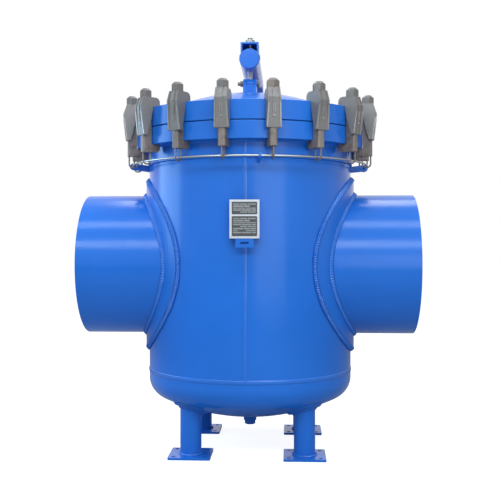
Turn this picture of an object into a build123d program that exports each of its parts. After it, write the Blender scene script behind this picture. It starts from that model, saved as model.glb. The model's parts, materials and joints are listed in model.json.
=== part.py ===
from build123d import *
from math import asin, atan2, cos, degrees, radians, sin, sqrt
import os

# A fabricated basket strainer for a 600 mm pipeline, in millimetres, +Z up.
# The vessel's axis is Z, and the origin is on that axis, level with the foot plates' undersides.
# The inlet faces -X, the outlet +X, the name plate -Y, and the lid davit stands at +Y.

os.makedirs("parts", exist_ok=True)

# Clearances
slip = 0.3          # between faces that pass each other
fit = 0.05          # radial, pins and threads in their holes
bolt_play = 0.5     # radial, bolts in drilled holes

# Vessel
shell_diameter = 892.0
plate_wall = 10.0
head_straight = 35.0
knuckle_share = 0.1
neck_height = 64.0
neck_wall = 16.0
neck_fillet = 9.0
flange_width = 66.0
flange_edge = 3.0
body_flange_thickness = 72.0

# Nozzles
nozzle_diameter = 610.0
nozzle_wall = 9.5
nozzle_height = 797.0
nozzle_projection = 269.0
pad_width = 80.0
shell_below_nozzle = 152.0
shell_above_nozzle = 130.0
pad_thickness = 14.0

# Legs and feet
leg_diameter = 88.9
leg_wall = 5.5
leg_inset = 208.0
leg_pad_diameter = 130.0
leg_pad_thickness = 8.0
foot_size = 175.0
foot_thickness = 10.0
foot_corner = 6.0
anchor_spacing = 130.0
anchor_hole = 18.0

# Drain
drain_diameter = 57.0
drain_bore = 38.0
drain_drop = 32.0
drain_inside = 6.0
plug_hex = 41.0
plug_head = 16.0
plug_engagement = 30.0

# Lid
gasket_thickness = 3.0
gasket_width = 32.0
lid_flange_thickness = 79.0
lid_crown = 890.0
lid_wall = 12.0
dome_inset = 26.0

# Lid lug and the screw that lifts the lid
lug_gap = 30.0
lug_plate = 15.0
lug_crown = 21.0
lug_foot = 74.0
lug_rise = 52.0
lug_bolt_diameter = 16.0
lug_bolt_tail = 12.0
rod_diameter = 24.0
rod_above_nut = 12.5
rod_eye_radius = 22.0

# Davit
davit_diameter = 88.9
davit_wall = 7.6
davit_rise = 98.0
davit_overhang = 67.0
davit_cap = 6.0
cap_diameter = 84.0
davit_bend = 133.0
davit_standoff = 134.0
saddle_width = 80.0
saddle_wall = 8.0
saddle_length = 96.0
saddle_height = 78.5
washer_diameter = 44.0
washer_thickness = 4.0
jack_hex = 36.0
jack_nut_height = 13.5

# Davit socket on the back of the shell
socket_diameter = 114.3
socket_length = 308.0
socket_drop = 44.0
socket_floor = 12.0
bracket_width = 110.0
bracket_plate = 12.0
bracket_inset = 24.0

# Clamps
clamp_count = 16
clamp_turn = 1.6
clamp_crowding = 3.0
clamp_bolt = 30.0
clamp_hex = 46.0
clamp_head = 36.0
clamp_head_flat = 29.0
clamp_head_turn = 37.0
jaw_nose = 30.0
jaw_cover = 38.0
jaw_skirt = 117.0
jaw_depth = 59.0
jaw_belly = 40.0
jaw_lean = 13.0
jaw_tuck = 14.0
jaw_tail = 13.0
jaw_top_width = 46.0
jaw_low_width = 61.0
groove_depth = 3.0
groove_width = 10.0
groove_end = 95.0
rib_width = 14.0
hook_shank_width = 31.0
hook_boss_width = 38.0
hook_gap = 3.5
hook_depth = 38.0
hook_drop = 32.0
hook_toe = 34.0
hook_rounding = 9.0
hook_boss_length = 72.0
loop_wire = 6.5
loop_span = 36.0
loop_slack = 12.0
loop_bend = 16.0

# Ring that carries the opened clamps
ring_wire = 8.0
ring_outset = 16.0
ring_drop = 68.0
ring_lug_turn = 6.8
ring_lug_radius = 15.0
ring_lug_plate = 8.0
ring_lug_foot = 26.0

# Seat plate and basket
seat_margin = 15.0
seat_thickness = 16.0
seat_ledge = 78.0
basket_low = 385.0
basket_floor_thickness = 6.0
cage_wall = 6.0
screen_wall = 2.0
rim_width = 32.0
rim_thickness = 10.0
basket_clearance = 4.0
window_columns = 12
window_rows = 4
window_width = 120.0
window_height = 128.0
window_pitch = 150.0
window_margin = 40.0
crossbar_width = 50.0
crossbar_thickness = 10.0
ear_spacing = 88.0
ear_plate = 8.0
ear_radius = 15.0
bail_rod = 12.0
bail_length = 90.0
bail_rise = 22.0
bail_bend = 18.0
bail_lean = 45.0

# Name plate
plate_width = 117.0
plate_height = 151.0
plate_thickness = 2.0
plate_centre = 984.0
plate_standoff = 38.0
bracket_sheet = 4.0
tab_width = 72.0
tab_drop = 36.0
tab_slot = 34.0
rivet_diameter = 6.0
rivet_inset = 7.0

# Sizes that follow from the ones above
shell_r = shell_diameter / 2
bore_r = shell_r - plate_wall
neck_r = bore_r + neck_wall
flange_r = bore_r + flange_width
nozzle_r = nozzle_diameter / 2
pad_diameter = nozzle_diameter + 2 * pad_width
head_seam = nozzle_height - nozzle_r - shell_below_nozzle
neck_seam = nozzle_height + nozzle_r + shell_above_nozzle
flange_low = neck_seam + neck_height
flange_joint = flange_low + body_flange_thickness
lid_low = flange_joint + gasket_thickness
lid_top = lid_low + lid_flange_thickness
leg_spacing = shell_diameter - 2 * leg_inset
nozzle_reach = shell_r + nozzle_projection
post_offset = shell_r + davit_standoff
knuckle_r = knuckle_share * shell_diameter
knuckle_z = head_seam - head_straight
crown_z = knuckle_z + sqrt((shell_diameter - knuckle_r) ** 2 - (shell_r - knuckle_r) ** 2)
knuckle_turn = degrees(asin((shell_r - knuckle_r) / (shell_diameter - knuckle_r)))
head_low = crown_z - shell_diameter
dome_radius = bore_r - dome_inset
dome_z = lid_top - sqrt(lid_crown**2 - dome_radius**2)
dome_bore = sqrt((lid_crown - lid_wall) ** 2 - (lid_top - dome_z) ** 2)
lug_pin_height = dome_z + lid_crown + lug_rise
davit_height = lug_pin_height + davit_rise
socket_high = neck_seam - socket_drop
socket_low = socket_high - socket_length

# Vessel shell with a round opening on each side
with BuildPart() as shell:
    with BuildSketch(Plane.XY.offset(head_seam)):
        Circle(shell_r)
        Circle(bore_r, mode=Mode.SUBTRACT)
    extrude(amount=neck_seam - head_seam)
    with BuildSketch(Plane.YZ):
        with Locations((0, nozzle_height)):
            Circle(nozzle_r - nozzle_wall)
    extrude(amount=shell_r, both=True, mode=Mode.SUBTRACT)
shell.part.label = "shell"
export_step(shell.part, "parts/shell.step")

# Dished bottom head: crown, knuckle and a short straight flange
knuckle_centre = (shell_r - knuckle_r, knuckle_z)
knuckle_start = knuckle_turn - 90
with BuildPart() as bottom_head:
    with BuildSketch(Plane.XZ):
        with BuildLine():
            crown = CenterArc((0, crown_z), shell_diameter, -90, knuckle_turn)
            knuckle = CenterArc(knuckle_centre, knuckle_r, knuckle_start, -knuckle_start)
            inner_knuckle = CenterArc(knuckle_centre, knuckle_r - plate_wall, knuckle_start, -knuckle_start)
            inner_crown = CenterArc((0, crown_z), shell_diameter - plate_wall, -90, knuckle_turn)
            Polyline(knuckle @ 1, (shell_r, head_seam), (bore_r, head_seam), inner_knuckle @ 1)
            Line(inner_crown @ 0, crown @ 0)
        make_face()
    revolve(axis=Axis.Z)
    with BuildSketch(Plane.XY.offset(head_low)):
        Circle(drain_diameter / 2)
    extrude(amount=plate_wall + knuckle_r, mode=Mode.SUBTRACT)
bottom_head.part.label = "bottom_head"
export_step(bottom_head.part, "parts/bottom_head.step")

# Body flange with its neck
with BuildPart() as body_flange:
    with BuildSketch(Plane.XZ):
        with BuildLine():
            Polyline(
                (bore_r, neck_seam),
                (neck_r, neck_seam),
                (neck_r, flange_low),
                (flange_r, flange_low),
                (flange_r, flange_joint),
                (bore_r, flange_joint),
                close=True,
            )
        make_face()
    revolve(axis=Axis.Z)
    edges = body_flange.edges().filter_by(GeomType.CIRCLE)
    root = edges.filter_by(lambda e: abs(e.radius - neck_r) < slip).sort_by(Axis.Z)[-1]
    fillet(root, radius=neck_fillet)
    rims = body_flange.edges().filter_by(GeomType.CIRCLE)
    rims = rims.filter_by(lambda e: abs(e.radius - flange_r) < slip)
    fillet(rims, radius=flange_edge)
body_flange.part.label = "body_flange"
export_step(body_flange.part, "parts/body_flange.step")

# Nozzles and the reinforcing pads rolled to the shell round them
for side, name in ((-1, "inlet"), (1, "outlet")):
    with BuildPart() as nozzle:
        with BuildSketch(Plane.YZ.offset(side * nozzle_reach)):
            with Locations((0, nozzle_height)):
                Circle(nozzle_r)
                Circle(nozzle_r - nozzle_wall, mode=Mode.SUBTRACT)
        extrude(amount=-side * nozzle_reach)
        with BuildSketch(Plane.XY.offset(head_seam)):
            Circle(shell_r)
        extrude(amount=neck_seam - head_seam, mode=Mode.SUBTRACT)
    nozzle.part.label = f"{name}_nozzle"
    export_step(nozzle.part, f"parts/{name}_nozzle.step")

    with BuildPart() as pad:
        with BuildSketch(Plane.XY.offset(nozzle_height - pad_diameter / 2)):
            Circle(shell_r + pad_thickness)
            Circle(shell_r, mode=Mode.SUBTRACT)
        extrude(amount=pad_diameter)
        with BuildSketch(Plane.YZ):
            with Locations((0, nozzle_height)):
                Circle(pad_diameter / 2)
                Circle(nozzle_r, mode=Mode.SUBTRACT)
        extrude(amount=side * (shell_r + 2 * pad_thickness), mode=Mode.INTERSECT)
    pad.part.label = f"{name}_pad"
    export_step(pad.part, f"parts/{name}_pad.step")

# Pads between the legs and the head, cut from the head's own crown
with BuildPart() as leg_pads:
    with BuildSketch(Plane.XY.offset(head_low)):
        with GridLocations(leg_spacing, leg_spacing, 2, 2):
            Circle(leg_pad_diameter / 2)
    extrude(amount=knuckle_z - head_low)
    with BuildSketch(Plane.XZ):
        with BuildLine():
            pad_arc = CenterArc((0, crown_z), shell_diameter + leg_pad_thickness, -90, 60)
            pad_back = CenterArc((0, crown_z), shell_diameter, -90, 60)
            Line(pad_arc @ 0, pad_back @ 0)
            Line(pad_arc @ 1, pad_back @ 1)
        make_face()
    revolve(axis=Axis.Z, mode=Mode.INTERSECT)
leg_pads.part.label = "leg_pads"
export_step(leg_pads.part, "parts/leg_pads.step")

# Pipe legs, coped to the pads
with BuildPart() as legs:
    with BuildSketch(Plane.XY.offset(foot_thickness)):
        with GridLocations(leg_spacing, leg_spacing, 2, 2):
            Circle(leg_diameter / 2)
            Circle(leg_diameter / 2 - leg_wall, mode=Mode.SUBTRACT)
    extrude(amount=head_seam - foot_thickness)
    with Locations((0, 0, crown_z)):
        Sphere(shell_diameter + leg_pad_thickness, mode=Mode.SUBTRACT)
legs.part.label = "legs"
export_step(legs.part, "parts/legs.step")

# Square foot plates with anchor holes
with BuildPart() as foot_plates:
    with BuildSketch():
        with GridLocations(leg_spacing, leg_spacing, 2, 2):
            RectangleRounded(foot_size, foot_size, foot_corner)
            with GridLocations(anchor_spacing, anchor_spacing, 2, 2):
                Circle(anchor_hole / 2, mode=Mode.SUBTRACT)
    extrude(amount=foot_thickness)
foot_plates.part.label = "foot_plates"
export_step(foot_plates.part, "parts/foot_plates.step")

# Drain coupling through the lowest point of the head
drain_low = head_low - drain_drop
with BuildPart() as drain_coupling:
    with BuildSketch(Plane.XY.offset(drain_low)):
        Circle(drain_diameter / 2)
        Circle(drain_bore / 2, mode=Mode.SUBTRACT)
    extrude(amount=drain_drop + plate_wall + drain_inside)
    chamfer(drain_coupling.edges().group_by(Axis.Z)[0].sort_by(SortBy.RADIUS)[-1], length=flange_edge)
drain_coupling.part.label = "drain_coupling"
export_step(drain_coupling.part, "parts/drain_coupling.step")

# Drain plug, screwed in from below
with BuildPart() as drain_plug:
    with BuildSketch(Plane.XY.offset(drain_low)):
        RegularPolygon(plug_hex / 2, 6, major_radius=False)
    extrude(amount=-plug_head)
    chamfer(drain_plug.edges().group_by(Axis.Z)[0], length=flange_edge / 2)
    with BuildSketch(Plane.XY.offset(drain_low)):
        Circle(drain_bore / 2 - fit)
    extrude(amount=plug_engagement)
drain_plug.part.label = "drain_plug"
export_step(drain_plug.part, "parts/drain_plug.step")

# Everything on the seat's slope is a tall upright form between two sloping planes.
# The slope takes the plate from below the inlet to above the outlet.
seat_slope = (nozzle_r + seat_margin) / bore_r
seat_angle = degrees(atan2(nozzle_r + seat_margin, bore_r))
stretch = 1 / cos(radians(seat_angle))


def sloping(height):
    """The plane at the seat's angle that crosses the vessel's axis at this height."""
    return Plane(origin=(0, 0, height), x_dir=(0, 1, 0), z_dir=(-seat_slope, 0, 1))


seat_low = nozzle_height - seat_thickness * stretch / 2
seat_top = seat_low + seat_thickness * stretch
rim_low = seat_top + slip * stretch
rim_top = rim_low + rim_thickness * stretch
bar_top = rim_top + crossbar_thickness * stretch
basket_r = bore_r - seat_ledge
tall = 2 * shell_diameter

# Sloping seat plate that parts the inlet side from the outlet side
with BuildPart() as seat_plate:
    with BuildSketch():
        Circle(bore_r)
        Circle(basket_r + basket_clearance, mode=Mode.SUBTRACT)
    extrude(amount=tall)
    split(bisect_by=sloping(seat_top), keep=Keep.BOTTOM)
    split(bisect_by=sloping(seat_low), keep=Keep.TOP)
seat_plate.part.label = "seat_plate"
export_step(seat_plate.part, "parts/seat_plate.step")

# Basket rim, which lies on the seat plate
with BuildPart() as basket_rim:
    with BuildSketch():
        Circle(basket_r + rim_width)
        Circle(basket_r - cage_wall - screen_wall, mode=Mode.SUBTRACT)
    extrude(amount=tall)
    split(bisect_by=sloping(rim_top), keep=Keep.BOTTOM)
    split(bisect_by=sloping(rim_low), keep=Keep.TOP)
basket_rim.part.label = "basket_rim"
export_step(basket_rim.part, "parts/basket_rim.step")

# Basket cage: rolled plate with rows of windows below the seat
with BuildPart() as basket_cage:
    with BuildSketch(Plane.XY.offset(basket_low)):
        Circle(basket_r)
        Circle(basket_r - cage_wall, mode=Mode.SUBTRACT)
    extrude(amount=tall)
    split(bisect_by=sloping(rim_low), keep=Keep.BOTTOM)
    for column in range(window_columns):
        turn = 360 / window_columns * (column + 0.5)
        seat_here = seat_low + seat_slope * basket_r * cos(radians(turn))
        for row in range(window_rows):
            middle = basket_low + window_margin / 2 + window_height / 2 + row * window_pitch
            if middle + window_height / 2 + window_margin > seat_here:
                continue
            face = Plane.XZ.rotated((0, 0, turn + 90))
            with BuildSketch(face):
                with Locations((0, middle)):
                    RectangleRounded(window_width, window_height, window_margin / 4)
            extrude(amount=basket_r + cage_wall, mode=Mode.SUBTRACT)
basket_cage.part.label = "basket_cage"
export_step(basket_cage.part, "parts/basket_cage.step")

# Mesh liner inside the cage, a closed sheet here
with BuildPart() as basket_screen:
    with BuildSketch(Plane.XY.offset(basket_low)):
        Circle(basket_r - cage_wall)
        Circle(basket_r - cage_wall - screen_wall, mode=Mode.SUBTRACT)
    extrude(amount=tall)
    split(bisect_by=sloping(rim_low), keep=Keep.BOTTOM)
basket_screen.part.label = "basket_screen"
export_step(basket_screen.part, "parts/basket_screen.step")

# Basket floor
with BuildPart() as basket_floor:
    with BuildSketch(Plane.XY.offset(basket_low - basket_floor_thickness)):
        Circle(basket_r)
    extrude(amount=basket_floor_thickness)
basket_floor.part.label = "basket_floor"
export_step(basket_floor.part, "parts/basket_floor.step")

# Bar across the rim with two ears for the bail
bail_height = bar_top + bail_rise
with BuildPart() as basket_crossbar:
    with BuildSketch():
        Rectangle(crossbar_width, 2 * basket_r + rim_width)
    extrude(amount=tall)
    split(bisect_by=sloping(bar_top), keep=Keep.BOTTOM)
    split(bisect_by=sloping(rim_top), keep=Keep.TOP)
    for side in (-1, 1):
        with BuildSketch(Plane.XZ.offset(side * ear_spacing / 2)):
            with Locations((0, bail_height)):
                Circle(ear_radius)
            with Locations((0, bail_height - bail_rise)):
                Rectangle(2 * ear_radius, 2 * bail_rise)
        extrude(amount=ear_plate / 2, both=True)
    with BuildSketch(Plane.XZ):
        with Locations((0, bail_height)):
            Circle(bail_rod / 2 + fit)
    extrude(amount=ear_spacing, both=True, mode=Mode.SUBTRACT)
    split(bisect_by=sloping(rim_top), keep=Keep.TOP)
basket_crossbar.part.label = "basket_crossbar"
export_step(basket_crossbar.part, "parts/basket_crossbar.step")

# Bail, a bent rod that leans down towards the inlet until it is lifted
bail_plane = Plane(
    origin=(0, 0, bail_height),
    x_dir=(0, 1, 0),
    z_dir=(-sin(radians(bail_lean)), 0, cos(radians(bail_lean))),
)
bail_half = ear_spacing / 2 - ear_plate / 2 - bail_rod / 2 - 2 * slip
bail_end = ear_spacing / 2 + ear_plate
with BuildPart() as basket_bail:
    with BuildLine(bail_plane) as bail_route:
        FilletPolyline(
            (-bail_half, 0),
            (-bail_half, bail_length),
            (bail_half, bail_length),
            (bail_half, 0),
            radius=bail_bend,
        )
    with BuildSketch(Plane(origin=bail_route.line @ 0, z_dir=bail_route.line % 0)):
        Circle(bail_rod / 2)
    sweep(path=bail_route.line)
    with BuildSketch(Plane.XZ.offset(-bail_end)):
        with Locations((0, bail_height)):
            Circle(bail_rod / 2)
    extrude(amount=bail_end - bail_half)
    with BuildSketch(Plane.XZ.offset(bail_end)):
        with Locations((0, bail_height)):
            Circle(bail_rod / 2)
    extrude(amount=bail_half - bail_end)
basket_bail.part.label = "basket_bail"
export_step(basket_bail.part, "parts/basket_bail.step")

# Flat gasket between the flanges
with BuildPart() as gasket:
    with BuildSketch(Plane.XY.offset(flange_joint)):
        Circle(bore_r + gasket_width)
        Circle(bore_r, mode=Mode.SUBTRACT)
    extrude(amount=gasket_thickness)
gasket.part.label = "gasket"
export_step(gasket.part, "parts/gasket.step")

# Lid flange ring
with BuildPart() as lid_flange:
    with BuildSketch(Plane.XY.offset(lid_low)):
        Circle(flange_r)
        Circle(dome_bore, mode=Mode.SUBTRACT)
    extrude(amount=lid_flange_thickness)
    rims = lid_flange.edges().filter_by(GeomType.CIRCLE)
    fillet(rims.filter_by(lambda e: abs(e.radius - flange_r) < slip), radius=flange_edge)
lid_flange.part.label = "lid_flange"
export_step(lid_flange.part, "parts/lid_flange.step")

# Dished lid plate on the ring
dome_turn = degrees(asin(dome_radius / lid_crown))
inner_turn = degrees(asin(dome_bore / (lid_crown - lid_wall)))
with BuildPart() as lid_dome:
    with BuildSketch(Plane.XZ):
        with BuildLine():
            outer = CenterArc((0, dome_z), lid_crown, 90 - dome_turn, dome_turn)
            inner = CenterArc((0, dome_z), lid_crown - lid_wall, 90 - inner_turn, inner_turn)
            Line(outer @ 0, inner @ 0)
            Line(outer @ 1, inner @ 1)
        make_face()
    revolve(axis=Axis.Z)
lid_dome.part.label = "lid_dome"
export_step(lid_dome.part, "parts/lid_dome.step")

# Two lug plates on the lid
with BuildPart() as lid_lugs:
    for side in (-1, 1):
        with BuildSketch(Plane.YZ.offset(side * (lug_gap + lug_plate) / 2)):
            with Locations((0, lug_pin_height)):
                Circle(lug_crown)
            with Locations((0, dome_z + lid_crown)):
                Rectangle(lug_foot, 2 * lid_wall)
            make_hull()
            with Locations((0, lug_pin_height)):
                Circle(lug_bolt_diameter / 2 + bolt_play, mode=Mode.SUBTRACT)
        extrude(amount=lug_plate / 2, both=True)
    with Locations((0, 0, dome_z)):
        Sphere(lid_crown, mode=Mode.SUBTRACT)
lid_lugs.part.label = "lid_lugs"
export_step(lid_lugs.part, "parts/lid_lugs.step")

# Bolt through the lugs and the screw's eye
lug_half = lug_gap / 2 + lug_plate
with BuildPart() as lug_bolt:
    with BuildSketch(Plane.YZ.offset(lug_half)):
        with Locations((0, lug_pin_height)):
            RegularPolygon(0.75 * lug_bolt_diameter, 6, major_radius=False)
    extrude(amount=0.62 * lug_bolt_diameter)
    with BuildSketch(Plane.YZ.offset(lug_half)):
        with Locations((0, lug_pin_height)):
            Circle(lug_bolt_diameter / 2)
    extrude(amount=-(2 * lug_half + 0.8 * lug_bolt_diameter + lug_bolt_tail))
lug_bolt.part.label = "lug_bolt"
export_step(lug_bolt.part, "parts/lug_bolt.step")

with BuildPart() as lug_nut:
    with BuildSketch(Plane.YZ.offset(-lug_half)):
        with Locations((0, lug_pin_height)):
            RegularPolygon(0.75 * lug_bolt_diameter, 6, major_radius=False)
            Circle(lug_bolt_diameter / 2, mode=Mode.SUBTRACT)
    extrude(amount=-0.8 * lug_bolt_diameter)
lug_nut.part.label = "lug_nut"
export_step(lug_nut.part, "parts/lug_nut.step")

# Threaded screw that lifts the lid, hung from the davit's saddle, with an eye between the lugs
saddle_top = davit_height + saddle_height
nut_low = saddle_top + washer_thickness
rod_r = rod_diameter / 2
with BuildPart() as lifting_screw:
    with BuildSketch(Plane.XY.offset(lug_pin_height)):
        Circle(rod_r)
    extrude(amount=nut_low + jack_nut_height + rod_above_nut - lug_pin_height)
    chamfer(lifting_screw.faces().sort_by(Axis.Z)[-1].edges(), length=flange_edge)
    with BuildSketch(Plane.YZ):
        with Locations((0, lug_pin_height)):
            Circle(rod_eye_radius)
    extrude(amount=lug_gap / 2 - bolt_play, both=True)
    with BuildSketch(Plane.YZ):
        with Locations((0, lug_pin_height)):
            Circle(lug_bolt_diameter / 2 + bolt_play)
    extrude(amount=rod_diameter, both=True, mode=Mode.SUBTRACT)
lifting_screw.part.label = "lifting_screw"
export_step(lifting_screw.part, "parts/lifting_screw.step")

# Davit: one bent pipe, arm and post
davit_r = davit_diameter / 2
with BuildPart() as davit_pipe:
    with BuildLine(Plane.YZ) as davit_route:
        FilletPolyline(
            (-davit_overhang, davit_height),
            (post_offset, davit_height),
            (post_offset, socket_low),
            radius=davit_bend,
        )
    with BuildSketch(Plane(origin=davit_route.line @ 0, z_dir=davit_route.line % 0)):
        Circle(davit_r)
        Circle(davit_r - davit_wall, mode=Mode.SUBTRACT)
    sweep(path=davit_route.line)
    with BuildSketch(Plane.XY.offset(davit_height - davit_r)):
        Circle(rod_r + bolt_play)
    extrude(amount=davit_diameter, mode=Mode.SUBTRACT)
davit_pipe.part.label = "davit_pipe"
export_step(davit_pipe.part, "parts/davit_pipe.step")

with BuildPart() as davit_cap_plate:
    with BuildSketch(Plane.XZ.offset(davit_overhang)):
        with Locations((0, davit_height)):
            Circle(cap_diameter / 2)
    extrude(amount=davit_cap)
davit_cap_plate.part.label = "davit_cap"
export_step(davit_cap_plate.part, "parts/davit_cap.step")

# Channel saddle on the arm, which takes the nut's load
with BuildPart() as davit_saddle:
    with BuildSketch(Plane.XZ.offset(-saddle_length / 2)):
        with Locations((0, davit_height)):
            Rectangle(saddle_width, saddle_height, align=(Align.CENTER, Align.MIN))
            Rectangle(
                saddle_width - 2 * saddle_wall,
                saddle_height - saddle_wall,
                align=(Align.CENTER, Align.MIN),
                mode=Mode.SUBTRACT,
            )
            Circle(davit_r, mode=Mode.SUBTRACT)
    extrude(amount=saddle_length)
    with BuildSketch(Plane.XY.offset(davit_height)):
        Circle(rod_r + bolt_play)
    extrude(amount=saddle_height, mode=Mode.SUBTRACT)
davit_saddle.part.label = "davit_saddle"
export_step(davit_saddle.part, "parts/davit_saddle.step")

with BuildPart() as jack_washer:
    with BuildSketch(Plane.XY.offset(saddle_top)):
        Circle(washer_diameter / 2)
        Circle(rod_r + bolt_play, mode=Mode.SUBTRACT)
    extrude(amount=washer_thickness)
jack_washer.part.label = "jack_washer"
export_step(jack_washer.part, "parts/jack_washer.step")

# Nut that raises the lid when it is turned
with BuildPart() as jack_nut:
    with BuildSketch(Plane.XY.offset(nut_low)):
        RegularPolygon(jack_hex / 2, 6, major_radius=False)
        Circle(rod_r + fit, mode=Mode.SUBTRACT)
    extrude(amount=jack_nut_height)
jack_nut.part.label = "jack_nut"
export_step(jack_nut.part, "parts/jack_nut.step")

# Socket for the davit's post, with its floor and the two plates that carry it
with BuildPart() as davit_socket:
    with BuildSketch(Plane.XY.offset(socket_low)):
        with Locations((0, post_offset)):
            Circle(socket_diameter / 2)
            Circle(davit_r + slip, mode=Mode.SUBTRACT)
    extrude(amount=socket_high - socket_low)
    with BuildSketch(Plane.XY.offset(socket_low)):
        with Locations((0, post_offset)):
            Circle(socket_diameter / 2)
    extrude(amount=-socket_floor)
davit_socket.part.label = "davit_socket"
export_step(davit_socket.part, "parts/davit_socket.step")

with BuildPart() as socket_brackets:
    for height in (socket_low + bracket_inset, socket_high - bracket_inset):
        with BuildSketch(Plane.XY.offset(height)):
            with Locations((0, post_offset)):
                Circle(bracket_width / 2 + bracket_plate)
            with Locations((0, shell_r)):
                Rectangle(bracket_width + 2 * bracket_plate, 2 * bracket_plate)
            make_hull()
            with Locations((0, post_offset)):
                Circle(socket_diameter / 2, mode=Mode.SUBTRACT)
            Circle(shell_r, mode=Mode.SUBTRACT)
        extrude(amount=bracket_plate / 2, both=True)
socket_brackets.part.label = "socket_brackets"
export_step(socket_brackets.part, "parts/socket_brackets.step")

# Wire ring below the flange and the lugs that hold it
ring_radius = flange_r + ring_outset
ring_height = flange_low - ring_drop
with BuildPart() as clamp_ring:
    with Locations((0, 0, ring_height)):
        Torus(ring_radius, ring_wire / 2)
clamp_ring.part.label = "clamp_ring"
export_step(clamp_ring.part, "parts/clamp_ring.step")

with BuildPart() as ring_lug:
    with BuildSketch(Plane.XZ):
        with Locations((ring_radius, ring_height)):
            Circle(ring_lug_radius)
        with Locations((shell_r, neck_seam - ring_lug_foot)):
            Rectangle(ring_lug_plate, ring_lug_foot, align=(Align.CENTER, Align.MIN))
        make_hull()
        with Locations((ring_radius, ring_height)):
            Circle(ring_wire / 2 + fit, mode=Mode.SUBTRACT)
        with Locations((0, neck_seam)):
            Rectangle(neck_r, 2 * ring_lug_foot, align=Align.MIN, mode=Mode.SUBTRACT)
            Rectangle(shell_r, 4 * ring_lug_foot, align=(Align.MIN, Align.CENTER), mode=Mode.SUBTRACT)
    extrude(amount=ring_lug_plate / 2, both=True)
with BuildPart() as ring_lugs:
    with PolarLocations(0, 4, start_angle=ring_lug_turn):
        add(ring_lug.part)
ring_lugs.part.label = "ring_lugs"
export_step(ring_lugs.part, "parts/ring_lugs.step")

# Clamps. Each is drawn once, standing out along +X, and then set round the flange.
hook_r = flange_r + hook_gap
hook_low = flange_low - hook_drop
clamp_bolt_radius = hook_r + hook_depth / 2
jaw_top = lid_top + jaw_cover
jaw_low = lid_top - jaw_skirt
jaw_r = flange_r + jaw_depth
belly_z = jaw_top - jaw_belly
hook_top = jaw_top - jaw_cover / 2 - slip
loop_r = hook_r + hook_depth - loop_wire


def clamp_angle(number):
    """Clamps are set by hand, and stand a little closer together at the front."""
    even = (number + 0.5) * 360 / clamp_count
    return clamp_turn - 90 + even - clamp_crowding * sin(radians(even))


clamp_places = [Location((0, 0, 0), (0, 0, clamp_angle(n))) for n in range(clamp_count)]

# Two shallow grooves down the front of a jaw, either side of its rib, which run out near the tail
groove_low = lid_top - groove_end
groove_foot = jaw_r - jaw_tuck * (belly_z - groove_low) / (belly_z - jaw_low)
rib_half = rib_width / 2
with BuildPart() as grooves:
    with BuildSketch(Plane.XZ):
        with BuildLine():
            Polyline(
                (jaw_r - jaw_lean - groove_depth, jaw_top + slip),
                (jaw_r - groove_depth, belly_z),
                (groove_foot, groove_low),
                (jaw_r + groove_depth, groove_low),
                (jaw_r + groove_depth, jaw_top + slip),
                close=True,
            )
        make_face()
    extrude(amount=jaw_low_width, both=True)
    with BuildSketch(Plane.YZ):
        for side in (-1, 1):
            with BuildLine():
                Polyline(
                    (side * rib_half, jaw_top + slip),
                    (side * (rib_half + groove_width), jaw_top + slip),
                    (side * (rib_half + 1.4 * groove_width), groove_low),
                    (side * 1.4 * rib_half, groove_low),
                    close=True,
                )
            make_face()
    extrude(amount=2 * flange_r, mode=Mode.INTERSECT)

# Upper jaw: nose over the lid flange, skirt outside the hook
with BuildPart() as jaw:
    with BuildSketch(Plane.XZ):
        with BuildLine():
            sole = Polyline(
                (flange_r + hook_gap / 2, lid_top),
                (flange_r - jaw_nose, lid_top),
                (flange_r - jaw_nose, lid_top + jaw_cover / 2),
            )
            brow = TangentArc(sole @ 1, (flange_r - jaw_nose / 2, jaw_top), tangent=sole % 1)
            Polyline(
                brow @ 1,
                (jaw_r - jaw_lean, jaw_top),
                (jaw_r, belly_z),
                (jaw_r - jaw_tuck, jaw_low),
                (jaw_r - jaw_tuck - jaw_tail, jaw_low),
                (hook_r + hook_depth / 2, lid_top - 0.75 * jaw_skirt),
                (flange_r + hook_gap / 2, lid_top - jaw_cover / 3),
                sole @ 0,
            )
        make_face()
    extrude(amount=jaw_low_width, both=True)
    with BuildSketch(Plane.YZ):
        with BuildLine():
            Polyline(
                (-jaw_low_width / 2, jaw_low),
                (jaw_low_width / 2, jaw_low),
                (jaw_top_width / 2, jaw_top),
                (-jaw_top_width / 2, jaw_top),
                close=True,
            )
        make_face()
    extrude(amount=2 * flange_r, mode=Mode.INTERSECT)
    add(grooves.part, mode=Mode.SUBTRACT)
    with BuildSketch(Plane.XY.offset(hook_top + slip)):
        with Locations((hook_r - slip, 0)):
            Rectangle(
                hook_depth + 2 * slip, hook_boss_width + 2 * slip, align=(Align.MIN, Align.CENTER)
            )
    extrude(amount=-2 * jaw_skirt, mode=Mode.SUBTRACT)
    with BuildSketch(Plane.XY.offset(lid_top)):
        with Locations((clamp_bolt_radius, 0)):
            Circle(clamp_bolt / 2 + bolt_play)
    extrude(amount=jaw_cover, mode=Mode.SUBTRACT)
with BuildPart() as clamp_jaws:
    with Locations(*clamp_places):
        add(jaw.part)
clamp_jaws.part.label = "clamp_jaws"
export_step(clamp_jaws.part, "parts/clamp_jaws.step")

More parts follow.
